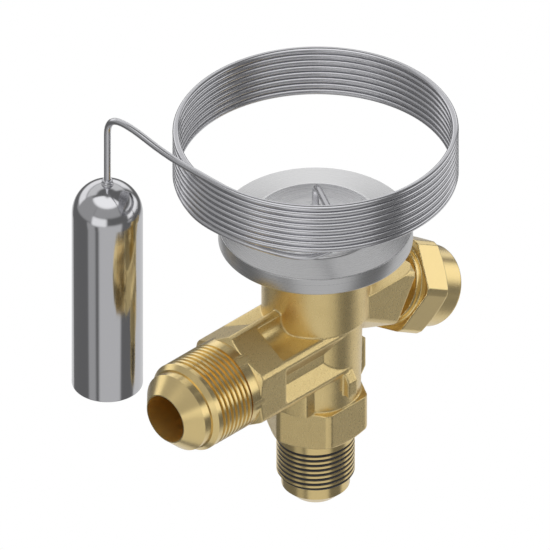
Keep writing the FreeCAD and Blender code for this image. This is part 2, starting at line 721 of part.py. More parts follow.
def setting_lever():
    """Bracket, pin and forked lever that turn the sloping spring force up to the push rod."""
    axis = "outlet_height"
    pivot = f"{axis} + pivot_height"
    floor = f"{axis} + cavity_floor"
    disc_diameter = "cavity_diameter - 2 * fit_gap"
    disc = cylinder("bracket_disc", disc_diameter, "bracket_floor")
    put(disc, z=floor)
    side = box("bracket_side", f"({disc_diameter}) / 2 + bracket_edge", disc_diameter, "bracket_floor")
    put(side, x=f"-({disc_diameter}) / 2", y=f"-({disc_diameter}) / 2", z=floor)
    plate = shared("bracket_plate", disc, side)
    ear_height = "pivot_height - cavity_floor + bracket_ear_width / 2"
    solids = [plate]
    for name, y in (("front", "-bracket_ear_gap / 2 - bracket_ear_thickness"), ("rear", "bracket_ear_gap / 2")):
        ear = box(f"{name}_ear", "bracket_ear_width", "bracket_ear_thickness", ear_height)
        put(ear, x="-pivot_offset - bracket_ear_width / 2", y=y, z=floor)
        solids.append(ear)
    blank = fused("bracket_blank", *solids)
    ear_outside = "bracket_ear_gap / 2 + bracket_ear_thickness"
    pin_hole = cylinder("bracket_pin_hole", "pin_diameter + 2 * braze_gap", f"2 * ({ear_outside})")
    put(pin_hole, x="-pivot_offset", y=ear_outside, z=pivot, turn=across)
    rod_hole = cylinder("bracket_rod_hole", "rod_diameter + 2 * fit_gap", "bracket_floor")
    put(rod_hole, z=floor)
    gas_hole = cylinder("bracket_gas_hole", "equaliser_diameter", "bracket_floor")
    put(gas_hole, y="equaliser_offset", z=floor)
    holes = fused("bracket_holes", pin_hole, rod_hole, gas_hole)
    finish("lever_bracket", cut("lever_bracket", blank, holes))

    pin = cylinder("lever_pin", "pin_diameter", f"2 * ({ear_outside})")
    put(pin, x="-pivot_offset", y=ear_outside, z=pivot, turn=across)
    finish("lever_pin", pin)

    # Two round pads on the cheeks carry the rod's collar, so it stays clear of the tilting arm.
    pad_top = f"{axis} + rod_collar_height - touch_gap"
    arm_top = f"{pad_top} - lever_pad_rise"
    pads = cylinder("lever_pads", "lever_pad_diameter", "lever_width")
    put(pads, y="lever_width / 2", z=f"{pad_top} - lever_pad_diameter / 2", turn=across)
    tab_x = "(lever_tab_out - lever_tab_thickness / 2) * cos(spindle_slope * 1 deg)"
    arm = box("lever_arm", f"pivot_offset + {tab_x} - 0.3", "lever_width", "lever_arm_height")
    put(arm, x="-pivot_offset", y="-lever_width / 2", z=f"{arm_top} - lever_arm_height")
    eye = cylinder("lever_eye", "lever_eye_diameter", "lever_width")
    put(eye, x="-pivot_offset", y="lever_width / 2", z=pivot, turn=across)
    tab = box("lever_tab", "lever_tab_low + lever_tab_up", "lever_width", "lever_tab_thickness")
    put_on_spindle(tab, out="lever_tab_out - lever_tab_thickness", up="lever_tab_up",
                   side="-lever_width / 2")
    blank = fused("lever_blank", arm, pads, eye, tab)
    fork = box("lever_fork", "pivot_offset + lever_eye_diameter + rod_collar_diameter / 2",
               "lever_fork_gap", "2 * lever_eye_diameter")
    put(fork, x="-pivot_offset - lever_eye_diameter", y="-lever_fork_gap / 2",
        z=f"{pivot} - lever_eye_diameter")
    bore = cylinder("lever_bore", "pin_diameter + 2 * pin_gap", "lever_width")
    put(bore, x="-pivot_offset", y="lever_width / 2", z=pivot, turn=across)
    finish("setting_lever", cut("setting_lever", blank, fused("lever_cuts", fork, bore)))


def spring_side():
    """Plunger, superheat spring, travelling seat and setting spindle in the sloping boss."""
    nose_start = "lever_tab_out + touch_gap"
    nose_radius = "plunger_nose_diameter / 2"
    head_end = "plunger_head_out + plunger_head_thickness"
    spring_inside = "spring_diameter / 2 - spring_wire - fit_gap"
    bore_radius = "chamber_diameter / 2"
    plunger = turned("spring_plunger", [
        ("0", nose_start),
        (f"{nose_radius} * 0.5", f"{nose_start} + {nose_radius} * 0.134"),
        (f"{nose_radius} * 0.866", f"{nose_start} + {nose_radius} * 0.5"),
        (nose_radius, f"{nose_start} + {nose_radius}"),
        (nose_radius, "plunger_head_out"),
        (f"{bore_radius} - 1.5 * fit_gap", "plunger_head_out"),
        (f"{bore_radius} - 1.5 * fit_gap", head_end),
        (spring_inside, head_end),
        (spring_inside, f"{head_end} + plunger_spigot"),
        ("0", f"{head_end} + plunger_spigot"),
    ])
    put_on_spindle(plunger)
    finish("spring_plunger", plunger)

    spring_length = f"seat_out - ({head_end}) - 2 * touch_gap"
    coil = spring("superheat_spring", "spring_diameter", "spring_wire", "spring_pitch", spring_length)
    put_on_spindle(coil, out=f"{head_end} + touch_gap")
    finish("superheat_spring", coil)

    nut = turned("seat_nut", [
        ("spindle_thread_diameter / 2 + touch_gap", "seat_out - plunger_spigot"),
        (spring_inside, "seat_out - plunger_spigot"),
        (spring_inside, "seat_out"),
        (f"{bore_radius} - fit_gap", "seat_out"),
        (f"{bore_radius} - fit_gap", "seat_out + seat_thickness"),
        ("spindle_thread_diameter / 2 + touch_gap", "seat_out + seat_thickness"),
    ])
    put_on_spindle(nut)
    key = box("seat_key", "keyway_depth", "keyway_width - fit_gap", "seat_thickness")
    put_on_spindle(key, out="seat_out", up=f"-{bore_radius} + keyway_depth / 2",
                   side="-(keyway_width - fit_gap) / 2")
    finish("spring_seat", fused("spring_seat", nut, key))

    flange_start = "gland_start - touch_gap - spindle_flange_thickness"
    stem = "spindle_stem_diameter / 2"
    groove = f"{stem} - 0.78"
    groove_half = "spindle_seal_section / 2 + 0.05"
    blank = turned("spindle_blank", [
        ("0", "spindle_inner_end"),
        ("spindle_thread_diameter / 2", "spindle_inner_end"),
        ("spindle_thread_diameter / 2", flange_start),
        ("spindle_flange_diameter / 2", flange_start),
        ("spindle_flange_diameter / 2", "gland_start - touch_gap"),
        (stem, "gland_start - touch_gap"),
        (stem, f"spindle_seal_out - ({groove_half})"),
        (groove, f"spindle_seal_out - ({groove_half})"),
        (groove, f"spindle_seal_out + {groove_half}"),
        (stem, f"spindle_seal_out + {groove_half}"),
        (stem, "spindle_outer_end"),
        ("0", "spindle_outer_end"),
    ])
    put_on_spindle(blank)
    slot = box("spindle_slot", "2 * spindle_stem_diameter", "spindle_slot_width", "spindle_slot_depth")
    put_on_spindle(slot, out="spindle_outer_end - spindle_slot_depth", up="spindle_stem_diameter",
                   side="-spindle_slot_width / 2")
    finish("setting_spindle", cut("setting_spindle", blank, slot))
    seal = ring_seal("spindle_seal", f"{groove} + 0.01", "spindle_seal_section")
    put_on_spindle(seal, out="spindle_seal_out - spindle_seal_section / 2")
    finish("spindle_seal", seal)

    gland_hole = f"{stem} + fit_gap"
    gland = turned("spindle_gland", [
        (gland_hole, "gland_start"),
        (f"{bore_radius} - touch_gap", "gland_start"),
        (f"{bore_radius} - touch_gap", "gland_end"),
        (gland_hole, "gland_end"),
    ])
    put_on_spindle(gland)
    finish("spindle_gland", gland)


def seal_cap():
    """The hexagon cap that screws over the neck, with its gasket."""
    hollow = "neck_diameter / 2 + fit_gap"
    shoulder = "neck_end + gasket_thickness + 2 * touch_gap"
    cap_inside = turned("cap_inside", [
        ("0", "cap_start - 1"),
        (hollow, "cap_start - 1"),
        (hollow, shoulder),
        ("cap_hollow_diameter / 2", shoulder),
        ("cap_hollow_diameter / 2", "cap_end - cap_top_thickness"),
        ("0", "cap_end - cap_top_thickness"),
    ])
    put_on_spindle(cap_inside)
    cap_round = turned("cap_round", [
        ("0", "cap_start"),
        ("cap_collar_diameter / 2", "cap_start"),
        ("cap_collar_diameter / 2", "cap_hex_start"),
        ("cap_end_diameter / 2", "cap_hex_start"),
        ("cap_end_diameter / 2", "cap_end - cap_end_chamfer"),
        ("cap_end_diameter / 2 - cap_end_chamfer", "cap_end"),
        ("0", "cap_end"),
    ])
    put_on_spindle(cap_round)
    bar = hexagon("cap_bar", "hex_across_flats", "cap_hex_end - cap_hex_start")
    put_on_spindle(bar, out="cap_hex_start")
    own_turn = FreeCAD.Rotation(FreeCAD.Vector(0, 0, 1), value("cap_hex_turn"))
    bar.Placement.Rotation = along_spindle.multiply(own_turn)
    corners = turned("cap_corners", [
        ("0", "cap_hex_start"),
        ("cap_corner_diameter / 2", "cap_hex_start"),
        ("cap_corner_diameter / 2", "cap_hex_end - (cap_corner_diameter - hex_end_diameter) / 4"),
        ("hex_end_diameter / 2", "cap_hex_end"),
        ("0", "cap_hex_end"),
    ])
    put_on_spindle(corners)
    cap_hexagon = shared("cap_hexagon", bar, corners)
    outside = fused("cap_outside", cap_round, cap_hexagon)
    finish("seal_cap", cut("seal_cap", outside, cap_inside))

    gasket = turned("cap_gasket", [
        ("chamber_diameter / 2 + 2 * touch_gap", "neck_end + touch_gap"),
        ("neck_diameter / 2 - touch_gap", "neck_end + touch_gap"),
        ("neck_diameter / 2 - touch_gap", "neck_end + touch_gap + gasket_thickness"),
        ("chamber_diameter / 2 + 2 * touch_gap", "neck_end + touch_gap + gasket_thickness"),
    ])
    put_on_spindle(gasket)
    finish("cap_gasket", gasket)


def tube(name, route, diameter):
    """A bent tube: straight runs joined by tangent arcs, as large as the shorter run allows."""
    corners = [FreeCAD.Vector(*point) for point in route]
    edges = []
    start = corners[0]
    radii = []
    for before, corner, after in zip(corners, corners[1:], corners[2:]):
        come = (corner - before).normalize()
        leave = (after - corner).normalize()
        half_turn = come.getAngle(leave) / 2
        shorter = min((corner - before).Length, (after - corner).Length)
        radius = 0.45 * shorter / math.tan(half_turn)
        set_back = 0.45 * shorter
        arc_start = corner - come * set_back
        arc_end = corner + leave * set_back
        inward = (leave - come).normalize()
        middle = corner + inward * (radius / math.cos(half_turn) - radius)
        edges.append(Part.LineSegment(start, arc_start).toShape())
        edges.append(Part.Arc(arc_start, middle, arc_end).toShape())
        start = arc_end
        radii.append(round(radius, 1))
    edges.append(Part.LineSegment(start, corners[-1]).toShape())
    path = Part.Wire(edges)
    section = Part.Wire(Part.makeCircle(diameter / 2, corners[0], corners[1] - corners[0]))
    shape = path.makePipeShell([section], True, False)
    expected = math.pi * diameter ** 2 / 4 * path.Length
    print(f"{name}: length {path.Length:.1f}, radii {radii}, volume {shape.Volume / expected:.4f} of expected")
    solid = doc.addObject("Part::Feature", name)
    solid.Shape = shape
    return solid


def capillary():
    """The capillary: a lead from the element, the coil, a lead to the bulb, and the bulb."""
    diameter = value("capillary_diameter")
    base = value("outlet_height")
    radius = value("coil_diameter / 2")
    half = "capillary_diameter / 2"
    first = "outlet_height + coil_height"
    coil_top = f"{first} + {coil_turns} * coil_pitch"
    coil = turned("capillary_coil", [
        (f"coil_diameter / 2 - {half}", first),
        (f"coil_diameter / 2 + {half}", first),
        (f"coil_diameter / 2 + {half}", coil_top),
        (f"coil_diameter / 2 - {half}", coil_top),
    ])
    finish("capillary_coil", coil)

    # From the ferrule up, over to the front, round and up into the lowest turn.
    inner_route = [
        (0, 0, base + 27.6),
        (0, 0, base + 35.9),
        (-7.7, -9.3, base + 36.2),
        (-15.8, -18.6, base + 36.1),
        (-20.0, -17.2, base + 36.3),
        (-23.1, -10.4, base + 36.9),
        (-26.8, -2.1, base + 38.0),
        (-28.0, 4.0, base + 39.3),
    ]
    inner = tube("inner_lead_whole", inner_route, diameter)
    finish("capillary_inner_lead", cut("capillary_inner_lead", inner, coil))

    # Off the top turn at a tangent, over the bulb and down into its collar.
    bulb_x = -value("bulb_across")
    bulb_y = value("bulb_back")
    bulb_top = base - value("bulb_bottom") + value("bulb_length")
    outer_route = [
        (-radius + 0.5, 2.0, base + 50.3),
        (-radius, 14.5, base + 51.3),
        (bulb_x, bulb_y, base + 52.6),
        (bulb_x - 0.1, bulb_y + 0.1, base + 43.8),
        (bulb_x, bulb_y, bulb_top + 0.05),
    ]
    outer = tube("outer_lead_whole", outer_route, diameter)
    finish("capillary_outer_lead", cut("capillary_outer_lead", outer, coil))

    bottom = "outlet_height - bulb_bottom"
    radius_text = "bulb_diameter / 2"
    dome_centre = f"{bottom} + bulb_length - {radius_text}"
    outline = [
        ("0", bottom),
        (f"{radius_text} - bulb_edge_round", bottom),
        (f"{radius_text} - 0.29 * bulb_edge_round", f"{bottom} + 0.29 * bulb_edge_round"),
        (radius_text, f"{bottom} + bulb_edge_round"),
        (radius_text, dome_centre),
    ]
    for angle in (18, 36, 54, 72):
        outline.append((f"{radius_text} * cos({angle} * 1 deg)",
                        f"{dome_centre} + {radius_text} * sin({angle} * 1 deg)"))
    outline.append(("0", f"{dome_centre} + {radius_text}"))
    bulb = turned("sensing_bulb", outline)
    put(bulb, x="-bulb_across", y="bulb_back")
    finish("sensing_bulb", bulb)

    top = f"{bottom} + bulb_length"
    ring = turned("collar_ring", [
        ("capillary_diameter / 2 + braze_gap", "-bulb_collar_diameter / 2"),
        ("bulb_collar_diameter / 2", "-bulb_collar_diameter / 2"),
        ("bulb_collar_diameter / 2", "bulb_collar_height"),
        ("capillary_diameter / 2 + braze_gap", "bulb_collar_height"),
    ])
    put(ring, x="-bulb_across", y="bulb_back", z=top)
    finish("bulb_collar", cut("bulb_collar", ring, bulb))


finish("valve_body", valve_body())
element()
skirt = valve_stem()
orifice_assembly(skirt)
setting_lever()
spring_side()
seal_cap()
capillary()
doc.recompute()

failed = [o.Label for o in doc.Objects if "Invalid" in o.State or "Error" in o.State]
failed += [name for name, solid in pieces.items() if solid.Shape.isNull() or not solid.Shape.isValid()]
if failed:
    sys.exit("These did not build: " + ", ".join(failed))

os.makedirs("parts", exist_ok=True)
for name, solid in pieces.items():
    solid.Shape.exportStep(f"parts/{name}.step")
    print(f"{name}: {len(solid.Shape.Solids)} solid, {solid.Shape.Volume:.1f} mm3")
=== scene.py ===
import math

import bmesh
import bpy
from mathutils import Matrix, Vector


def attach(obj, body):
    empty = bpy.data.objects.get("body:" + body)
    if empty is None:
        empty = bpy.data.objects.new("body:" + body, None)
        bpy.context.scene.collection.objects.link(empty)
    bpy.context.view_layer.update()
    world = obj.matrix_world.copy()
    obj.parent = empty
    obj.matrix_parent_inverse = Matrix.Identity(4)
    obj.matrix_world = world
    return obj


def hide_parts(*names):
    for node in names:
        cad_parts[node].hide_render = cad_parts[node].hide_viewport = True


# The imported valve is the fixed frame, in metres: +Z runs up the valve from the end of its
# inlet thread, the outlet points to -X, the setting spindle slopes down to +X, and the
# sensing bulb hangs behind at +Y.
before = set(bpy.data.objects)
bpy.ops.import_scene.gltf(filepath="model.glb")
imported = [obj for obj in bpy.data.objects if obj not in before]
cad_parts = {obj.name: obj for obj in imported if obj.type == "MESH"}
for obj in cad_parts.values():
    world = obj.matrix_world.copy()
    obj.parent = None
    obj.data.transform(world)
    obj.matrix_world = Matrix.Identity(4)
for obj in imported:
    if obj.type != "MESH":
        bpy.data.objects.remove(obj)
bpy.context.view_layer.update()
scene = bpy.context.scene
scene.view_settings.view_transform = "Standard"

# The picture: a parallel view from the front left and above, on pure white.
# The frame is 550 px wide and shows 111 mm of the valve.
frame_width = 0.11111
camera_distance = 0.6
sight = Vector((-1, -1, 1)).normalized()
aim = Vector((-0.0058, 0.0058, 0.047653))
camera_data = bpy.data.cameras.new("picture_camera")
camera_data.type = "ORTHO"
camera_data.ortho_scale = frame_width
camera = bpy.data.objects.new("picture_camera", camera_data)
camera.location = aim + camera_distance * sight
camera.rotation_euler = sight.to_track_quat("Z", "Y").to_euler()
scene.collection.objects.link(camera)
scene.camera = camera

# The studio: a white room seen by the camera, while the metal mirrors grey walls with white
# cards. Each card has the azimuth and elevation of its middle, half its width and height in
# degrees, and its brightness.


def add(tree, kind, inputs=(), **settings):
    """A shader node with its settings, and its inputs linked from sockets or set to values."""
    node = tree.nodes.new("ShaderNode" + kind)
    for setting, value in settings.items():
        setattr(node, setting, value)
    for socket, value in dict(inputs).items():
        if isinstance(value, bpy.types.NodeSocket):
            tree.links.new(value, node.inputs[socket])
        else:
            node.inputs[socket].default_value = value
    return node


def reckon(tree, operation, *values):
    """The result of one step of arithmetic in a node tree."""
    return add(tree, "Math", enumerate(values), operation=operation).outputs[0]


def effect(name, inputs, outputs):
    """An empty node group with named inputs and outputs, and its two end nodes."""
    tree = bpy.data.node_groups.new(name, "ShaderNodeTree")
    for label, default in inputs.items():
        kind = "NodeSocketFloat" if isinstance(default, float) else "NodeSocketVector"
        tree.interface.new_socket(label, in_out="INPUT", socket_type=kind).default_value = default
    for label in outputs:
        tree.interface.new_socket(label, in_out="OUTPUT", socket_type="NodeSocketFloat")
    return tree, tree.nodes.new("NodeGroupInput").outputs, tree.nodes.new("NodeGroupOutput").inputs


def place_effect(tree, group, **inputs):
    """One use of an effect in a node tree, with its own values."""
    node = tree.nodes.new("ShaderNodeGroup")
    node.node_tree = group
    for label, value in inputs.items():
        socket = node.inputs[label.replace("_", " ")]
        if isinstance(value, bpy.types.NodeSocket):
            tree.links.new(value, socket)
        else:
            socket.default_value = value
    return node.outputs


card, card_in, card_out = effect(
    "Studio card",
    {"Azimuth": 0.0, "Elevation": 0.0, "Half width": 30.0, "Half height": 20.0, "Level": 1.0},
    ["Light"],
)
card_soft = math.radians(7)
direction = add(card, "SeparateXYZ", {0: add(card, "TexCoord").outputs["Generated"]}).outputs
bearing = reckon(card, "ARCTAN2", direction["Y"], direction["X"])
height = reckon(card, "ARCSINE", direction["Z"])
spreads = []
for looked, middle, half in ((bearing, "Azimuth", "Half width"), (height, "Elevation", "Half height")):
    off = reckon(card, "SUBTRACT", looked, reckon(card, "RADIANS", card_in[middle]))
    off = reckon(card, "ABSOLUTE", reckon(card, "WRAP", off, math.pi, -math.pi))
    edge = reckon(card, "RADIANS", card_in[half])
    spread = add(card, "MapRange", {
        "Value": off,
        "From Min": reckon(card, "ADD", edge, card_soft),
        "From Max": reckon(card, "SUBTRACT", edge, card_soft),
    }, interpolation_type="SMOOTHSTEP")
    spreads.append(spread.outputs["Result"])
lit = reckon(card, "MULTIPLY", reckon(card, "MULTIPLY", *spreads), card_in["Level"])
card.links.new(lit, card_out["Light"])

wall_level = 0.17
cards = [
    (234, -48, 38, 40, 0.66),
    (173, -48, 15, 40, 0.46),
    (21, -57, 61, 34, 0.74),
    (199, 0, 25, 15, 1.15),
    (-33, 7, 34, 14, 1.20),
    (62, 13, 52, 14, 1.15),
    (58, 42, 56, 16, 0.80),
    (140, 20, 40, 30, 0.42),
    (225, 32, 50, 18, 0.45),
    (211, 66, 85, 20, 1.30),
]
room = bpy.data.worlds.new("studio")
room.use_nodes = True
room_tree = room.node_tree
room_tree.nodes.clear()
light = wall_level
for azimuth, elevation, half_width, half_height, level in cards:
    lit = place_effect(room_tree, card, Azimuth=azimuth, Elevation=elevation,
                       Half_width=half_width, Half_height=half_height, Level=level)["Light"]
    light = reckon(room_tree, "MAXIMUM", lit, light)
seen = add(room_tree, "LightPath").outputs["Is Camera Ray"]
light = reckon(room_tree, "MAXIMUM", light, seen)
backdrop = add(room_tree, "Background", {"Color": light})
add(room_tree, "OutputWorld", {"Surface": backdrop.outputs[0]})
scene.world = room

# The floor is a pale sheet under the valve. The picture shows no shadow on it.
floor_reach = 3.0
floor_depth = 0.02
floor_mesh = bpy.data.meshes.new("studio_floor")
floor_corners = [(x * floor_reach, y * floor_reach, -floor_depth)
                 for x, y in ((-1, -1), (1, -1), (1, 1), (-1, 1))]
floor_mesh.from_pydata(floor_corners, [], [(0, 1, 2, 3)])
floor = bpy.data.objects.new("studio_floor", floor_mesh)
floor.visible_glossy = False
floor.visible_diffuse = False
scene.collection.objects.link(floor)
floor_paint = bpy.data.materials.new("floor_paint")
floor_paint.use_nodes = True
floor_tree = floor_paint.node_tree
floor_tree.nodes.clear()
matt = add(floor_tree, "BsdfDiffuse", {"Color": (0.9, 0.9, 0.9, 1)})
glow = add(floor_tree, "Emission", {"Color": (1, 1, 1, 1), "Strength": 1.0})
floor_seen = add(floor_tree, "LightPath").outputs["Is Camera Ray"]
floor_mix = add(floor_tree, "MixShader", {0: floor_seen, 1: matt.outputs[0], 2: glow.outputs[0]})
add(floor_tree, "OutputMaterial", {"Surface": floor_mix.outputs[0]})
floor_mesh.materials.append(floor_paint)

# The capillary: 1.5 m of drawn steel tube, 1.42 mm thick. It rises from the element, is wound
# left-handed into eight close turns, and runs off the top turn over to the bulb, where it
# bends down into the bulb's collar. It's stiff and stands in the air as it was wound.
tube_diameter = 0.00142
outlet_height = 0.0335
coil_radius = 0.02825
coil_points = 24
coil_start = 159
coil_turns = 7.94
coil_low = outlet_height + 0.0393
coil_pitch = 0.00144
inner_lead = [
    (0.0, 0.0, outlet_height + 0.0276),
    (0.0, 0.0, outlet_height + 0.0323),
    (0.0, 0.0, outlet_height + 0.0365),
    (-0.0018, -0.0036, outlet_height + 0.0365),
    (-0.0046, -0.0092, outlet_height + 0.0359),
    (-0.0086, -0.0160, outlet_height + 0.0374),
    (-0.0128, -0.0214, outlet_height + 0.0392),
    (-0.0168, -0.0198, outlet_height + 0.0381),
    (-0.0202, -0.0176, outlet_height + 0.0372),
    (-0.0240, -0.0120, outlet_height + 0.0377),
    (-0.0268, -0.0040, outlet_height + 0.0384),
    (-0.0281, 0.0040, outlet_height + 0.0390),
]
outer_lead = [
    (-0.0282, 0.0145, outlet_height + 0.0506),
    (-0.0282, 0.0263, outlet_height + 0.0528),
    (-0.0282, 0.0313, outlet_height + 0.0509),
    (-0.0282, 0.0313, outlet_height + 0.0440),
    (-0.0282, 0.0313, outlet_height + 0.03525),
]
route = list(inner_lead)
polygon_radius = coil_radius / math.cos(math.pi / coil_points)
for step in range(round(coil_turns * coil_points) + 1):
    angle = math.radians(coil_start - 360 * step / coil_points)
    route.append((polygon_radius * math.cos(angle), polygon_radius * math.sin(angle),
                  coil_low + coil_pitch * step / coil_points))
route += outer_lead
tube_curve = bpy.data.curves.new("capillary", "CURVE")
tube_curve.dimensions = "3D"
tube_curve.bevel_depth = tube_diameter / 2
tube_curve.bevel_resolution = 4
tube_curve.resolution_u = 7
tube_line = tube_curve.splines.new("NURBS")
tube_line.points.add(len(route) - 1)
for point, place in zip(tube_line.points, route):
    point.co = (*place, 1)
tube_line.order_u = 3
tube_line.use_endpoint_u = True
capillary = bpy.data.objects.new("capillary", tube_curve)
scene.collection.objects.link(capillary)

# Grain of metal: fine speckle and broad cloudiness of a given size, read off the piece itself.
grain, grain_in, grain_out = effect("Metal grain", {"Size": 0.0002}, ["Fine", "Broad"])
grain_place = add(grain, "TexCoord").outputs["Object"]
fine_scale = reckon(grain, "DIVIDE", 1.0, grain_in["Size"])
fine = add(grain, "TexNoise", {"Vector": grain_place, "Scale": fine_scale, "Detail": 3.0})
broad_scale = reckon(grain, "MULTIPLY", fine_scale, 0.06)
broad = add(grain, "TexNoise", {"Vector": grain_place, "Scale": broad_scale, "Detail": 2.0})
grain.links.new(fine.outputs["Fac"], grain_out["Fine"])
grain.links.new(broad.outputs["Fac"], grain_out["Broad"])


def metal(name, colour, roughness):
    """A metal with its Principled shader, ready for its marks."""
    material = bpy.data.materials.new(name)
    material.use_nodes = True
    shader = material.node_tree.nodes["Principled BSDF"]
    shader.inputs["Base Color"].default_value = (*colour, 1)
    shader.inputs["Metallic"].default_value = 1.0
    shader.inputs["Roughness"].default_value = roughness
    return material, material.node_tree, shader


def vary(tree, shader, socket, mask, low, high):
    """Let a mask carry a colour or a number of the shader from low to high."""
    if isinstance(low, tuple):
        mixed = add(tree, "Mix", {"Factor": mask, "A": (*low, 1), "B": (*high, 1)}, data_type="RGBA")
    else:
        mixed = add(tree, "MapRange", {"Value": mask, "To Min": low, "To Max": high})
    tree.links.new(mixed.outputs["Result"], shader.inputs[socket])


drawn_steel, drawn_tree, drawn_shader = metal("drawn_steel", (0.62, 0.62, 0.645), 0.20)
drawn_grain = place_effect(drawn_tree, grain, Size=0.0005)
vary(drawn_tree, drawn_shader, "Roughness", drawn_grain["Broad"], 0.17, 0.23)
tube_curve.materials.append(drawn_steel)
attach(capillary, "valve")
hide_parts("capillary_inner_lead", "capillary_coil", "capillary_outer_lead")

# The sensing bulb: a drawn steel shell with a domed end and a foot with a small edge round,
# polished all over. It hangs from its collar on the capillary.


def made(name, shape, place):
    """Turn a finished shape into a piece in the scene."""
    bmesh.ops.recalc_face_normals(shape, faces=shape.faces)
    shape.transform(place)
    mesh = bpy.data.meshes.new(name)
    shape.to_mesh(mesh)
    shape.free()
    piece = bpy.data.objects.new(name, mesh)
    scene.collection.objects.link(piece)
    return piece


def lathe(name, outline, place=Matrix(), segments=160):
    """A closed piece turned about Z from (radius, height) corners, then put in place."""
    shape = bmesh.new()
    hoops = []
    for radius, height in outline:
        count = segments if radius > 0 else 1
        hoops.append([shape.verts.new((radius * math.cos(2 * math.pi * step / segments),
                                       radius * math.sin(2 * math.pi * step / segments), height))
                      for step in range(count)])
    if outline[0][0] > 0 and outline[-1][0] > 0:
        hoops.append(hoops[0])
    for below, above in zip(hoops, hoops[1:]):
        for step in range(segments):
            after = (step + 1) % segments
            corners = [below[step % len(below)], below[after % len(below)],
                       above[after % len(above)], above[step % len(above)]]
            shape.faces.new(dict.fromkeys(corners))
    return made(name, shape, place)


def shade(piece, *materials, sharp=30):
    """Smooth shading that stays crisp at edges over the given angle, and the piece's finishes."""
    mesh = piece.data
    mesh.materials.clear()
    mesh.shade_smooth()
    mesh.set_sharp_from_angle(angle=math.radians(sharp))
    for material in materials:
        mesh.materials.append(material)


def arc(middle, radius, start, end, steps):
    """Points of an arc in the plane of an outline, its angles in degrees from straight out."""
    return [(middle[0] + radius * math.cos(math.radians(start + (end - start) * i / steps)),
             middle[1] + radius * math.sin(math.radians(start + (end - start) * i / steps)))
            for i in range(steps + 1)]


def emboss(tree, shader, height_mask, depth):
    """Raise the surface by a mask, depth metres at most."""
    bump = add(tree, "Bump", {"Height": height_mask, "Strength": 1.0, "Distance": depth})
    tree.links.new(bump.outputs["Normal"], shader.inputs["Normal"])


bulb_place = Matrix.Translation((-0.0282, 0.0313, outlet_height - 0.0136))
bulb_radius = 0.0072
bulb_foot = -0.0004
bulb_length = 0.0488
foot_round = 0.0004
dome_height = bulb_length - bulb_radius
bulb_outline = [(0, bulb_foot)]
bulb_outline += arc((bulb_radius - foot_round, bulb_foot + foot_round), foot_round, -90, 0, 6)
bulb_outline += arc((0, dome_height), bulb_radius, 0, 84, 24)
bulb_outline += [(0, bulb_length)]
bulb = lathe("sensing_bulb_shell", bulb_outline, bulb_place)
polished_steel, polished_tree, polished_shader = metal("polished_steel", (0.60, 0.60, 0.62), 0.11)
polished_grain = place_effect(polished_tree, grain, Size=0.0012)
vary(polished_tree, polished_shader, "Roughness", polished_grain["Broad"], 0.09, 0.14)
emboss(polished_tree, polished_shader, polished_grain["Broad"], 0.000012)
shade(bulb, polished_steel)
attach(bulb, "valve")
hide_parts("sensing_bulb")

collar_bore = 0.00073
collar_outline = [(collar_bore, 0.0474), (0.00095, 0.0476)]
collar_outline += arc((0.00095, 0.0488), 0.00032, -60, 60, 5)
collar_outline += arc((0.00088, 0.0496), 0.00024, -60, 90, 5)
collar_outline += [(collar_bore, 0.0499)]
collar = lathe("bulb_neck_ring", collar_outline, bulb_place, segments=48)
shade(collar, drawn_steel)
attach(collar, "valve")
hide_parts("bulb_collar")

# The valve body: one brass forging with pockets along its outlet arm, hexagons for the
# spanner, a sloping boss for the setting spindle and lugs on the column. Its flare ends,
# neck and bores are turned and threaded.


def rod(name, radius, start, end, place=Matrix(), segments=160):
    """A plain round or six-sided rod from start to end along its axis."""
    return lathe(name, [(0, start), (radius, start), (radius, end), (0, end)], place, segments)


def bar(name, outline, width, place=Matrix()):
    """A bar of even width across Y, with its (x, z) outline, then put in place."""
    shape = bmesh.new()
    sides = [[shape.verts.new((x, y, z)) for x, z in outline] for y in (-width / 2, width / 2)]
    for side in sides:
        shape.faces.new(side)
    for i in range(len(outline)):
        after = (i + 1) % len(outline)
        shape.faces.new((sides[0][i], sides[0][after], sides[1][after], sides[1][i]))
    return made(name, shape, place)


def settle(piece):
    """Apply a piece's modifiers to its mesh."""
    bpy.context.view_layer.update()
    shown = piece.evaluated_get(bpy.context.evaluated_depsgraph_get())
    mesh = bpy.data.meshes.new_from_object(shown)
    piece.modifiers.clear()
    piece.data = mesh
    return piece


def combine(piece, operation, *tools):
    """Unite a piece with others, keep what it shares with them or cut them out of it."""
    for tool in tools:
        step = piece.modifiers.new(operation, "BOOLEAN")
        step.operation = operation
        step.solver = "MANIFOLD"
        step.object = tool
        settle(piece)
        bpy.data.objects.remove(tool)
    return piece


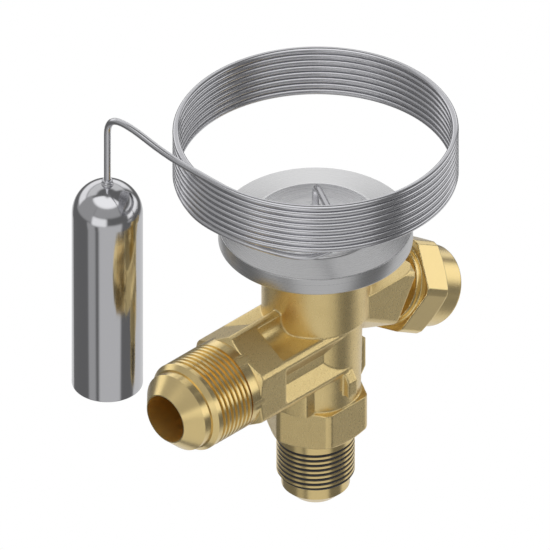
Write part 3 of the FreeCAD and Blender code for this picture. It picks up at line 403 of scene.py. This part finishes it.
def thread(name, radius, depth, pitch, start, end, place):
    """A solid rod with a thread, cut square at start and end. Its flat crests take 0.42 of the pitch."""
    shape = bmesh.new()
    steps = 96
    corners = [(0.0, radius), (0.42, radius), (0.62, radius - depth), (0.80, radius - depth)]
    turns = math.ceil((end - start) / pitch) + 3
    rows = [(start + (turn - 2 + share) * pitch, reach)
            for turn in range(turns) for share, reach in corners]
    grid = []
    for height, reach in rows:
        grid.append([shape.verts.new((reach * math.cos(2 * math.pi * step / steps),
                                      reach * math.sin(2 * math.pi * step / steps),
                                      height + pitch * step / steps)) for step in range(steps)])
    lap = len(corners)
    for high in range(1, len(rows)):
        low = high - 1
        for step in range(steps - 1):
            shape.faces.new((grid[low][step], grid[low][step + 1],
                             grid[high][step + 1], grid[high][step]))
        if high + lap < len(rows):
            shape.faces.new((grid[low][-1], grid[low + lap][0], grid[high + lap][0], grid[high][-1]))
    foot = shape.verts.new((0, 0, rows[0][0]))
    foot_edge = grid[0] + [grid[i][0] for i in range(lap, 0, -1)]
    head = shape.verts.new((0, 0, rows[-1][0] + pitch))
    last = len(rows) - 1
    head_edge = grid[last] + [grid[i][-1] for i in range(last - 1, last - lap - 1, -1)]
    for centre, rim in ((foot, foot_edge), (head, head_edge)):
        for one, other in zip(rim, rim[1:] + rim[:1]):
            shape.faces.new((centre, one, other))
    return combine(made(name, shape, place), "INTERSECT",
                   rod(name + "_length", 2 * radius, start, end, place, 32))


def join(piece, *others):
    """Put other pieces into a piece's mesh as they are."""
    shape = bmesh.new()
    for part in (piece, *others):
        shape.from_mesh(part.data)
    shape.to_mesh(piece.data)
    shape.free()
    for part in others:
        bpy.data.objects.remove(part)
    return piece


def tumble(piece, name, voxel_size, rounds, share):
    """Make a piece one skin, wear its edges round and leave a share of the faces on its flats."""
    piece.name = name
    skin = piece.modifiers.new("skin", "REMESH")
    skin.mode = "VOXEL"
    skin.voxel_size = voxel_size
    wear = piece.modifiers.new("wear", "SMOOTH")
    wear.factor = 0.5
    wear.iterations = rounds
    lighter = piece.modifiers.new("lighter", "DECIMATE")
    lighter.ratio = share
    return settle(piece)


def soften(piece, width):
    """Round all crisp edges of a piece by a bevel of the given width."""
    edge = piece.modifiers.new("edge", "BEVEL")
    edge.width = width
    edge.segments = 3
    edge.limit_method = "ANGLE"
    edge.angle_limit = math.radians(25)
    return settle(piece)


along_outlet = Matrix.Translation((0, 0, outlet_height)) @ Matrix.Rotation(math.radians(-90), 4, "Y")
along_spindle = (Matrix.Translation((0, 0, outlet_height + 0.0142))
                 @ Matrix.Rotation(math.radians(120), 4, "Y"))
hex_radius = 0.019 / math.sqrt(3)
neck_radius = 0.0069
neck_cut = (0.0222, 0.0305)
neck_pitch = 0.00125
neck_depth = 0.0005
corner_radius = 0.01065
end_radius = 0.00945
corner_fall = 0.58 * (corner_radius - end_radius)
column_radius = 0.0095
head_radius = 0.01097
head_bottom = outlet_height + 0.00595
head_top = outlet_height + 0.0230
inlet_hex = (0.0112, 0.0199)
column = lathe("column", [
    (0, inlet_hex[0] + 0.001),
    (column_radius - 0.0005, inlet_hex[0] + 0.001),
    *arc((head_radius, head_bottom - 0.00147), 0.00147, 180, 90, 8),
    (head_radius, head_top),
    (0, head_top),
])
inlet_grip = combine(
    rod("inlet_grip", hex_radius, *inlet_hex, segments=6), "INTERSECT",
    lathe("inlet_grip_round", [
        (0, inlet_hex[0]),
        (end_radius, inlet_hex[0]),
        (corner_radius, inlet_hex[0] + corner_fall),
        (corner_radius, inlet_hex[1]),
        (0, inlet_hex[1]),
    ]))
grip = (0.0177, 0.0252)
outlet_grip = combine(
    rod("outlet_grip", hex_radius, *grip, along_outlet, 6), "INTERSECT",
    lathe("outlet_grip_round", [
        (0, grip[0]),
        (corner_radius, grip[0]),
        (corner_radius, grip[1] - corner_fall),
        (end_radius, grip[1]),
        (0, grip[1]),
    ], along_outlet))


def slab(name, x, z, width):
    """A box from its spans along X and Z and its width across Y."""
    return bar(name, [(x[0], z[0]), (x[1], z[0]), (x[1], z[1]), (x[0], z[1])], width)


arm_length = grip[0] + 0.0005
web = 0.0011
rib = (0.0043, 0.00605)
pocket_round = 0.0032
quarter = [
    (web, 0.012),
    *arc((web + pocket_round, rib[1] + pocket_round), pocket_round, 180, 270, 12),
    (0.012, rib[1]),
    (0.012, rib[0]),
    (0.0095, rib[0]),
    (0.0077, 0.0011),
]
half = quarter + [(y, -z) for y, z in reversed(quarter)]
arm_place = (Matrix.Translation((-arm_length / 2, 0, outlet_height))
             @ Matrix.Rotation(math.radians(90), 4, "Z"))
arm = combine(
    bar("outlet_arm", half + [(-y, z) for y, z in reversed(half)], arm_length, arm_place), "INTERSECT",
    rod("arm_hexagon", hex_radius, -0.001, 0.019, along_outlet, 6),
    rod("arm_corners", corner_radius, -0.002, 0.020, along_outlet))
arm_skirt = combine(
    rod("arm_skirt", head_radius, inlet_hex[1] - 0.0002, outlet_height - rib[1] + 0.0005), "INTERSECT",
    slab("skirt_width", (-0.012, 0.0), (inlet_hex[1] - 0.001, outlet_height), 0.0127))
boss_end = 0.0192
boss = combine(
    rod("spindle_boss", hex_radius, 0.003, boss_end, along_spindle, 6), "INTERSECT",
    rod("boss_corners", corner_radius, 0.002, 0.020, along_spindle),
    slab("boss_top", (-0.01, 0.03), (0.0, outlet_height + corner_radius), 0.03))
soften(boss, 0.0005)
neck = rod("spindle_neck", neck_radius, 0.003, neck_cut[0], along_spindle)
lug_outline = [
    (0.004, outlet_height - 0.0104),
    (0.0107, outlet_height - 0.0104),
    (0.0107, outlet_height - 0.0070),
    (0.0090, outlet_height - 0.0044),
    (0.004, outlet_height - 0.0044),
]
lugs = [bar(f"{side}_lug", lug_outline, 0.0025, Matrix.Rotation(math.radians(turn), 4, "Z"))
        for side, turn in (("front", -90), ("rear", 90))]
boss_pad = bar("boss_pad", [
    (0.004, inlet_hex[1] - 0.0005),
    (0.0102, inlet_hex[1] - 0.0005),
    (0.0114, inlet_hex[1] + 0.0012),
    (0.0114, outlet_height - 0.0056),
    (0.0102, outlet_height - 0.0044),
    (0.004, outlet_height - 0.0044),
], 0.0060)

# All blanks become one skin, with edges worn round as on a tumbled forging.
forging = join(column, inlet_grip, outlet_grip, arm, arm_skirt, boss, neck, *lugs, boss_pad)
tumble(forging, "forged_valve_body", 0.00018, rounds=3, share=0.37)

# The flare ends are turned from the forging: thread, plain nose and 45 degree cone. A thread is
# cut a little longer than it shows: the shank and the chamfer take the surplus.
thread_pitch = 0.001165
thread_depth = 0.00062
outlet_cut = (0.0268, 0.0381)
outlet_thread = (0.0273, 0.0379)
outlet_plain = 0.0016
outlet_radius = 0.009525
outlet_nose = 0.00833
outlet_bore = 0.0051
outlet_cone = 0.0030
outlet_tip = outlet_thread[1] + 0.0020
outlet_end = thread("outlet_thread", outlet_radius, thread_depth, thread_pitch, *outlet_cut, along_outlet)
combine(outlet_end, "UNION",
        rod("outlet_lead", outlet_radius + 0.00001, outlet_thread[1] - outlet_plain, outlet_cut[1],
            along_outlet))
combine(outlet_end, "INTERSECT",
        lathe("outlet_chamfer", [
            (0, outlet_cut[0]),
            (outlet_radius + 0.0001, outlet_cut[0]),
            (outlet_radius + 0.0001, outlet_thread[1] - 0.0010),
            (outlet_radius - 0.0009, outlet_thread[1]),
            (0, outlet_thread[1]),
        ], along_outlet))
combine(outlet_end, "UNION",
        rod("outlet_shank", outlet_radius, 0.0240, outlet_thread[0], along_outlet),
        lathe("outlet_nose", [
            (0, 0.030),
            (outlet_nose, 0.030),
            (outlet_nose, outlet_tip - 0.0001),
            (outlet_nose - 0.0001, outlet_tip),
            (outlet_nose - outlet_cone, outlet_tip + outlet_cone),
            (0, outlet_tip + outlet_cone),
        ], along_outlet))
inlet_radius = 0.0079375
inlet_nose = 0.00695
inlet_bore = 0.0046
inlet_cone = 0.0022
inlet_cut = (-0.00141, 0.0090)
inlet_thread_end = -0.0005
inlet_tip = inlet_thread_end - 0.00255
inlet_end = thread("inlet_thread", inlet_radius, thread_depth, thread_pitch, *inlet_cut, Matrix())
combine(inlet_end, "INTERSECT",
        lathe("inlet_chamfer", [
            (0, inlet_thread_end),
            (inlet_radius - 0.0006, inlet_thread_end),
            (inlet_radius + 0.0001, inlet_thread_end + 0.0007),
            (inlet_radius + 0.0001, inlet_cut[1]),
            (0, inlet_cut[1]),
        ]))
combine(inlet_end, "UNION",
        rod("inlet_shank", inlet_radius, 0.0088, 0.0125),
        lathe("inlet_nose", [
            (0, inlet_tip - inlet_cone),
            (inlet_nose - inlet_cone, inlet_tip - inlet_cone),
            (inlet_nose, inlet_tip),
            (inlet_nose, 0.005),
            (0, 0.005),
        ]))
neck_thread = thread("neck_thread", neck_radius, neck_depth, neck_pitch, *neck_cut, along_spindle)
combine(forging, "UNION", outlet_end, inlet_end, neck_thread)
cavity_floor = outlet_height + 0.0066
cavity_radius = 0.0084
seat_radius = 0.00945
seat_height = head_top - 0.00205
shoulder = outlet_height - 0.0070
orifice_bore = 0.0036
rod_hole = 0.0013
spring_bore = 0.0050
combine(forging, "DIFFERENCE",
        lathe("head_cavity", [
            (0, cavity_floor),
            (cavity_radius, cavity_floor),
            (cavity_radius, seat_height),
            (seat_radius, seat_height),
            (seat_radius, head_top + 0.001),
            (0, head_top + 0.001),
        ]),
        rod("rod_hole", rod_hole, outlet_height, cavity_floor + 0.001, segments=48),
        rod("outlet_bore", outlet_bore, -0.0020, 0.045, along_outlet),
        lathe("inlet_bore", [
            (0, -0.006),
            (inlet_bore, -0.006),
            (inlet_bore, shoulder),
            (orifice_bore, shoulder),
            (orifice_bore, outlet_height),
            (0, outlet_height),
        ]),
        rod("spring_chamber", spring_bore, 0.007, 0.032, along_spindle))

# The finishes of the brass: the forging has a grain, the flares and the neck have turning marks.
brass_colour = (0.85, 0.655, 0.29)
# Painted shade for the roots of a thread: a dark colour where the grooves fall into shadow.
painted_groove_shade = (0.10, 0.10, 0.108)


def brass(name, roughness):
    """Brass under a thin dull haze, which keeps its dark sides greyish."""
    material, tree, shader = metal(name, brass_colour, roughness)
    shader.inputs["Coat Weight"].default_value = 1.0
    shader.inputs["Coat Roughness"].default_value = 0.7
    shader.inputs["Coat IOR"].default_value = 1.6
    return material, tree, shader


forged_brass, forged_tree, forged_shader = brass("forged_brass", 0.30)
forged_grain = place_effect(forged_tree, grain, Size=0.00020)
vary(forged_tree, forged_shader, "Base Color", forged_grain["Broad"],
     (0.80, 0.61, 0.265), (0.90, 0.70, 0.32))
vary(forged_tree, forged_shader, "Roughness", forged_grain["Fine"], 0.22, 0.36)
emboss(forged_tree, forged_shader, forged_grain["Fine"], 0.000045)


def from_axis(tree, place):
    """The distance of a place from its Z axis, from its X and Y in a node tree."""
    squares = [reckon(tree, "POWER", place[way], 2.0) for way in "XY"]
    return reckon(tree, "SQRT", reckon(tree, "ADD", *squares))


# Turning marks: fine rings about the Z axis of the place that is given.
rings, rings_in, rings_out = effect(
    "Turning marks", {"Place": (0.0, 0.0, 0.0), "Pitch": 0.0002}, ["Marks"])
across = add(rings, "SeparateXYZ", {0: rings_in["Place"]}).outputs
way_out = reckon(rings, "ADD", from_axis(rings, across), across["Z"])
run = reckon(rings, "DIVIDE", way_out, rings_in["Pitch"])
marks = add(rings, "TexNoise", {"W": run, "Scale": 1.0, "Detail": 2.0}, noise_dimensions="1D")
rings.links.new(marks.outputs["Fac"], rings_out["Marks"])

# Groove shade: a mask of the grooves of a thread, around the Z axis of the place that is given.
# It grows from a little under the crest and leaves out whatever lies deeper than the thread.
groove, groove_in, groove_out = effect(
    "Groove shade", {"Place": (0.0, 0.0, 0.0), "Crest": 0.008, "Depth": 0.0006}, ["Mask"])
aside = add(groove, "SeparateXYZ", {0: groove_in["Place"]}).outputs
below_crest = reckon(groove, "SUBTRACT", groove_in["Crest"], from_axis(groove, aside))
sunk = reckon(groove, "DIVIDE", below_crest, groove_in["Depth"])
inside = add(groove, "MapRange", {"Value": sunk, "From Min": 0.04, "From Max": 0.22}).outputs["Result"]
in_thread = reckon(groove, "LESS_THAN", sunk, 1.1)
groove.links.new(reckon(groove, "MULTIPLY", inside, in_thread), groove_out["Mask"])


def turned_brass(name, place, shaded_crest=None):
    """Machined brass with turning marks about the Z axis of a place.

    Where the radius of a thread's crests is given, its grooves get painted shade: a dark, matt colour in
    the roots.
    """
    material, tree, shader = brass(name, 0.22)
    turn = add(tree, "Mapping", {"Vector": add(tree, "TexCoord").outputs["Object"]}, vector_type="TEXTURE")
    turn.inputs["Location"].default_value = place.to_translation()
    turn.inputs["Rotation"].default_value = place.to_euler()
    lines = place_effect(tree, rings, Place=turn.outputs["Vector"], Pitch=0.00018)["Marks"]
    vary(tree, shader, "Roughness", lines, 0.16, 0.28)
    emboss(tree, shader, lines, 0.000006)
    if shaded_crest:
        # Painted shade: the grooves turn dark and matt.
        deep = place_effect(tree, groove, Place=turn.outputs["Vector"],
                            Crest=shaded_crest, Depth=thread_depth)["Mask"]
        vary(tree, shader, "Base Color", deep, brass_colour, painted_groove_shade)
        vary(tree, shader, "Metallic", deep, 1.0, 0.0)
    return material


outlet_finish = turned_brass("turned_brass_outlet", along_outlet)
# The inlet thread's grooves carry painted shade.
inlet_finish = turned_brass("turned_brass_inlet", Matrix(), inlet_radius)
spindle_finish = turned_brass("turned_brass_spindle", along_spindle)
# The bores: a rougher brass, and a brighter, more saturated colour than the forging, which is painted
# light that lifts their dark insides.
bore_finish_painted_light, bore_tree, bore_shader = metal("bored_brass_painted_light", (0.96, 0.68, 0.22), 0.5)
bore_marks = place_effect(bore_tree, grain, Size=0.0006)["Fine"]
vary(bore_tree, bore_shader, "Roughness", bore_marks, 0.42, 0.55)
shade(forging, forged_brass, outlet_finish, inlet_finish, spindle_finish, bore_finish_painted_light, sharp=32)
to_outlet = along_outlet.inverted()
to_spindle = along_spindle.inverted()
close = 0.0001
# Faces in the outlet and inlet bores take the bore brass with its painted light; the flare ends and the
# neck take their turned finishes.
for face in forging.data.polygons:
    centre = face.center
    if centre.x < 0.002 and (to_outlet @ centre).xy.length < outlet_bore + close / 2:
        face.material_index = 4
    elif centre.x < -grip[1] + close:
        face.material_index = 1
    elif centre.z < inlet_hex[0] + close:
        face.material_index = 4 if centre.xy.length < inlet_bore + close / 2 else 2
    elif (to_spindle @ centre).z > boss_end + 3 * close and centre.x > 0.010:
        face.material_index = 3
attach(forging, "valve")
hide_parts("valve_body")

# The orifice cartridge and the parts inside: brass and steel pieces turned to size, rubber
# rings and wound springs, all in their CAD shape.


def turned_metal(name, colour, roughness):
    """Machined metal of an inner piece, with turning marks about the valve's axis."""
    material, tree, shader = metal(name, colour, roughness)
    around = add(tree, "TexCoord").outputs["Object"]
    lines = place_effect(tree, rings, Place=around, Pitch=0.00016)["Marks"]
    vary(tree, shader, "Roughness", lines, roughness - 0.06, roughness + 0.08)
    emboss(tree, shader, lines, 0.000006)
    return material


def soft_seal(name, colour, roughness):
    """Rubber or fibre with a fine matt skin."""
    material, tree, shader = metal(name, colour, roughness)
    shader.inputs["Metallic"].default_value = 0.0
    skin = place_effect(tree, grain, Size=0.00025)
    vary(tree, shader, "Base Color", skin["Broad"], colour, tuple(1.4 * part for part in colour))
    emboss(tree, shader, skin["Fine"], 0.00001)
    return material


inner_brass = turned_metal("inner_brass", (0.80, 0.63, 0.34), 0.26)
inner_steel = turned_metal("inner_steel", (0.55, 0.55, 0.56), 0.28)
spring_steel = turned_metal("spring_steel", (0.42, 0.42, 0.44), 0.34)
seal_rubber = soft_seal("seal_rubber", (0.025, 0.025, 0.026), 0.55)
gasket_fibre = soft_seal("gasket_fibre", (0.30, 0.06, 0.03), 0.75)
inner_finishes = {
    inner_brass: ("orifice_body", "strainer_frame", "spring_plunger", "spring_seat",
                  "setting_spindle", "spindle_gland"),
    inner_steel: ("thrust_pad", "push_rod", "valve_cone", "cone_spring_retainer", "strainer_mesh",
                  "lever_bracket", "lever_pin", "setting_lever"),
    spring_steel: ("cone_spring", "superheat_spring", "diaphragm"),
    seal_rubber: ("orifice_seal", "spindle_seal"),
    gasket_fibre: ("cap_gasket",),
}
for finish, names in inner_finishes.items():
    for name in names:
        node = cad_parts[name]
        node.data.materials.clear()
        node.data.materials.append(finish)

# The seal cap: turned from hexagon brass bar, screwed over the neck down on its gasket.
cap_start = 0.0220
cap_hex = (0.0237, 0.0310)
cap_end = 0.0378
cap_end_radius = 0.0084
cap_skirt_radius = 0.0088
cap_bore = 0.0070
cap_bore_end = 0.0312
tip_bore = 0.0032
tip_wall = 0.0015
cap_corner = 0.0106
cap_turn = math.radians(17)
along_cap = along_spindle @ Matrix.Rotation(cap_turn, 4, "Z")
cap = combine(
    rod("seal_cap_hexagon", hex_radius, *cap_hex, along_cap, 6), "INTERSECT",
    lathe("cap_hexagon_round", [
        (0, cap_hex[0]),
        (cap_corner, cap_hex[0]),
        (cap_corner, cap_hex[1] - 0.0006),
        (end_radius, cap_hex[1]),
        (0, cap_hex[1]),
    ], along_spindle))
join(cap, lathe("cap_round", [
    (0, cap_start),
    (cap_skirt_radius, cap_start),
    (cap_skirt_radius, cap_hex[0] + 0.0004),
    (cap_end_radius, cap_hex[0] + 0.0006),
    (cap_end_radius, cap_end - 0.0005),
    (cap_end_radius - 0.0005, cap_end),
    (0, cap_end),
], along_spindle))
tumble(cap, "screwed_seal_cap", 0.00016, rounds=4, share=0.5)
combine(cap, "DIFFERENCE", lathe("cap_hollow", [
    (0, cap_start - 0.001),
    (cap_bore, cap_start - 0.001),
    (cap_bore, cap_bore_end),
    (tip_bore, cap_bore_end),
    (tip_bore, cap_end - tip_wall),
    (0, cap_end - tip_wall),
], along_spindle))
shade(cap, spindle_finish, sharp=32)
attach(cap, "cap")
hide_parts("seal_cap")

# The diaphragm element: two turned steel housings welded round their rim, brushed in circles,
# and the ferrule that holds the capillary in the middle of the crown.
seam = head_top + 0.0024
rim = 0.0197
rim_round = 0.0004
chamber = 0.0156
spigot = 0.0094
spigot_bore = 0.0060
spigot_depth = 0.0020
housing_wall = 0.0009
lower_housing = lathe("lower_housing", [
    (spigot_bore, head_top - spigot_depth),
    (spigot, head_top - spigot_depth),
    (spigot, head_top),
    *arc((rim - rim_round, head_top + rim_round), rim_round, -90, 0, 4),
    (rim, seam),
    (chamber, seam),
    (chamber, head_top + housing_wall),
    (spigot_bore, head_top + housing_wall),
], segments=256)


def brushed(name, dark, light):
    """Steel brushed in circles about the Z axis, from a dark to a light shade."""
    material, tree, shader = metal(name, (0.6, 0.6, 0.605), 0.3)
    around = add(tree, "TexCoord").outputs["Object"]
    brushing = place_effect(tree, rings, Place=around, Pitch=0.00016)["Marks"]
    vary(tree, shader, "Roughness", brushing, 0.22, 0.36)
    vary(tree, shader, "Base Color", brushing, (dark, dark, dark + 0.005), (light, light, light + 0.005))
    emboss(tree, shader, brushing, 0.000006)
    shader.inputs["Anisotropic"].default_value = 0.6
    swirl = add(tree, "Tangent", direction_type="RADIAL", axis="Z")
    tree.links.new(swirl.outputs["Tangent"], shader.inputs["Tangent"])
    return material


brushed_steel = brushed("brushed_steel", 0.57, 0.67)
# A lighter copy of the brushed steel: painted light, so the dish inside the crown shows as bright as the
# rim.
painted_light_steel = brushed("painted_light_steel", 0.88, 0.98)
shade(lower_housing, brushed_steel)
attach(lower_housing, "valve")
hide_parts("element_lower_housing")

upper_start = seam + 0.00003
rim_top = upper_start + 0.00147
crown = rim_top + 0.0012
dish = crown - 0.00020
crown_radius = 0.0128
dish_wall = 0.0007
ferrule_radius = 0.00195
dish_floor = dish - 0.0010
ripples = [(0.0112 - 0.00035 * i, dish - 0.000045 * i + 0.00001 * math.sin(0.9 * i))
           for i in range(23)]
upper_housing = lathe("upper_housing", [
    (rim, upper_start),
    *arc((rim - 0.0002, rim_top - 0.0002), 0.0002, 0, 85, 5),
    (crown_radius + 0.0007, rim_top + 0.0005),
    (crown_radius + 0.0003, rim_top + 0.0006),
    (crown_radius + 0.0001, rim_top + 0.0008),
    (crown_radius, crown - 0.0002),
    *arc((crown_radius - 0.0003, crown - 0.0003), 0.0003, 0, 90, 4),
    (crown_radius - 0.0006, crown),
    *ripples,
    (0.0020, dish_floor),
    (0.0020, dish_floor - dish_wall),
    (crown_radius - 0.0012, dish_floor - dish_wall),
    (chamber, upper_start + 0.00075),
    (chamber, upper_start),
], segments=256)
shade(upper_housing, brushed_steel, painted_light_steel, sharp=40)
# The dish inside the crown takes the lighter copy of the steel: painted light.
for face in upper_housing.data.polygons:
    if face.center.xy.length < crown_radius + 0.0001 and face.center.z > dish_floor - 0.0003:
        face.material_index = 1
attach(upper_housing, "valve")
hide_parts("element_upper_housing")

ferrule_hole = tube_diameter / 2 + 0.00002
ferrule = lathe("tube_ferrule", [
    (ferrule_hole, dish_floor - dish_wall),
    (ferrule_radius, dish_floor - dish_wall),
    (ferrule_radius, dish_floor),
    (0.0029, dish_floor + 0.00002),
    (0.0025, dish_floor + 0.0012),
    (0.0018, dish_floor + 0.0028),
    (0.00116, dish_floor + 0.0043),
    (ferrule_hole, dish_floor + 0.0043),
], segments=64)
shade(ferrule, inner_steel)
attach(ferrule, "valve")
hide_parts("element_ferrule")
